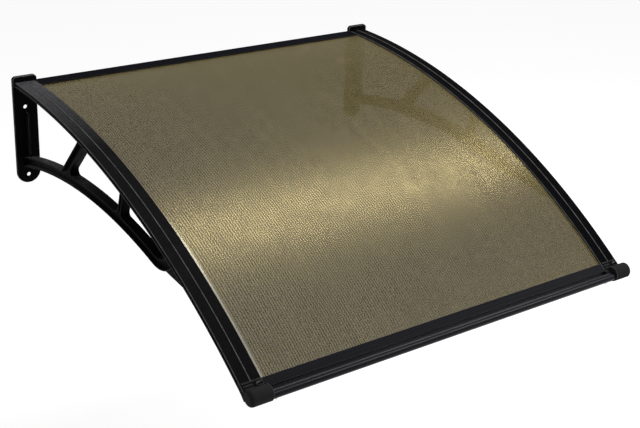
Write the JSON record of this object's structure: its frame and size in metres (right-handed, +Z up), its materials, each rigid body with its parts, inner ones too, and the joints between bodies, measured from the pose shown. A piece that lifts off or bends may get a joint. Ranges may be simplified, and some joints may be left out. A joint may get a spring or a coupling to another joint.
{
  "type": "polycarbonate door canopy",
  "caption": "Curved door canopy with a bronze twin-wall polycarbonate sheet, black moulded side brackets with open struts, and black wall and front bars.",
  "frame": {"origin": "middle of the wall bar's back face, on the wall plane, level with the middle of the roof sheet at the wall", "axes": "+X along the wall to the right as seen from the front, +Y into the wall, +Z up; the canopy reaches out towards -Y"},
  "size_m": [0.9985, 0.9749, 0.3456],
  "materials": {
    "black_plastic": "matte moulded black plastic",
    "bronze_polycarbonate": "bronze tinted twin-wall polycarbonate, satin",
    "black_aluminium": "black powder coat, satin",
    "zinc_steel": "bright zinc plate"
  },
  "bodies": {
    "root": {"bracket_left": "black_plastic", "bracket_right": "black_plastic", "roof_sheet": "bronze_polycarbonate", "wall_bar": "black_aluminium", "front_bar": "black_aluminium", "wall_bar_screw_left": "zinc_steel", "wall_bar_screw_right": "zinc_steel", "front_bar_screw_left": "zinc_steel", "front_bar_screw_right": "zinc_steel"}
  },
  "joints": []
}
